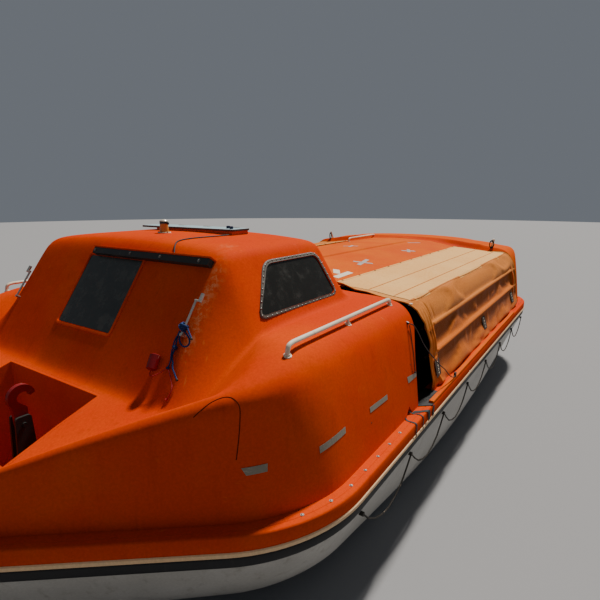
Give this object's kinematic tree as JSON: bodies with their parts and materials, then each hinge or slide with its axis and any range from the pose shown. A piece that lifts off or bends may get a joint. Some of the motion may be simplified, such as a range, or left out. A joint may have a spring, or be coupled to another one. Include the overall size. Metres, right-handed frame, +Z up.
{
  "type": "partially enclosed lifeboat",
  "caption": "Double-ended orange lifeboat with canopied ends, a raised stern wheelhouse, fabric side covers, lifting hooks in end bays, a guarded propeller and a rudder.",
  "frame": {"origin": "amidships on the centreline at the waterline", "axes": "+X to the bow, +Y to port, +Z up"},
  "size_m": [10.7, 4.41, 3.513],
  "materials": {
    "orange_grp": "weathered orange gel coat, satin with dull patches",
    "cream_edge": "pale cream moulded strip",
    "fender_rubber": "matt black rubber",
    "hull_grp": "off-white gel coat, satin",
    "cover_canvas": "coated canvas, tan with cream bands",
    "window_pane": "dark tinted acrylic",
    "galvanised": "dull galvanised steel",
    "white_paint": "worn white paint",
    "grey_moulding": "matt grey",
    "bronze": "cast bronze",
    "red_paint": "red enamel",
    "black_paint": "black enamel",
    "blue_rope": "blue laid rope",
    "red_cord": "thin red braided cord",
    "black_cord": "black braided cord",
    "lamp_lens": "amber lens with black cap"
  },
  "bodies": {
    "boat": {"hull": "hull_grp", "fender_band": "fender_rubber", "edge_strip": "cream_edge", "gunwale": "orange_grp", "canopy_stern": "orange_grp", "canopy_bow": "orange_grp", "hook_bay_stern": "orange_grp", "hook_bay_bow": "orange_grp", "roof": "orange_grp", "cover_starboard": "cover_canvas", "cover_port": "cover_canvas", "cover_frame": "galvanised", "gunwale_lip_starboard": "orange_grp", "gunwale_lip_port": "orange_grp", "floor": "grey_moulding", "bench_starboard": "orange_grp", "bench_port": "orange_grp", "bench_middle": "orange_grp", "engine": "galvanised", "engine_casing": "orange_grp", "helm_console": "grey_moulding", "helm_seat": "fender_rubber", "propeller_guard": "galvanised", "hook_post_stern": "black_paint", "hook_post_bow": "black_paint", "hatch_coaming": "orange_grp", "lamp": "lamp_lens", "rail_stern_starboard": "white_paint", "rail_stern_port": "white_paint", "window_starboard": "window_pane", "window_port": "window_pane", "window_aft": "window_pane", "window_front": "window_pane", "window_starboard_gasket": "fender_rubber", "window_port_gasket": "fender_rubber", "window_rail_aft": "black_paint", "rail_roof_port": "white_paint", "release_handle_starboard": "galvanised", "release_handle_port": "galvanised", "handle_knot": "blue_rope", "handle_rope": "blue_rope", "handle_rope_tail": "blue_rope", "handle_cord": "red_cord", "marker_float": "red_paint", "float_lanyard": "red_cord", "lanyard_eye": "black_paint", "lanyard_clip": "black_paint", "entry_lanyard": "black_cord", "entry_lanyard_tail": "black_cord", "grab_line_starboard": "black_cord", "grab_line_port": "black_cord"},
    "propeller": {"propeller": "bronze"},
    "rudder": {"rudder": "galvanised"},
    "steering_wheel": {"steering_wheel": "fender_rubber"},
    "hatch_lid": {"hatch_lid": "grey_moulding"},
    "hook_stern": {"hook_stern": "red_paint"},
    "hook_bow": {"hook_bow": "red_paint"}
  },
  "joints": [
    {"name": "propeller_spin", "type": "hinge", "parent": "boat", "child": "propeller", "pos_m": [-4.45, 0, -0.47], "axis": [1, 0, 0], "continuous": true},
    {"name": "rudder_turn", "type": "hinge", "parent": "boat", "child": "rudder", "pos_m": [-4.79, 0, -0.4], "axis": [0, 0, 1], "range_deg": [-35, 35]},
    {"name": "steering_wheel_turn", "type": "hinge", "parent": "boat", "child": "steering_wheel", "pos_m": [-2.48, 0, 1.78], "axis": [1, 0, 0], "range_deg": [-540, 540]},
    {"name": "hatch_hinge", "type": "hinge", "parent": "boat", "child": "hatch_lid", "pos_m": [-2.385, 0, 2.655], "axis": [0, 1, 0], "range_deg": [0, 110]},
    {"name": "hook_stern_release", "type": "hinge", "parent": "boat", "child": "hook_stern", "pos_m": [-4.25, 0, 1.36], "axis": [0, -1, 0], "range_deg": [0, 80]},
    {"name": "hook_bow_release", "type": "hinge", "parent": "boat", "child": "hook_bow", "pos_m": [4.25, 0, 1.36], "axis": [0, 1, 0], "range_deg": [0, 80]}
  ],
  "couplings": [
    {"joint": "steering_wheel_turn", "follows": "rudder_turn", "ratio": 15.429}
  ]
}
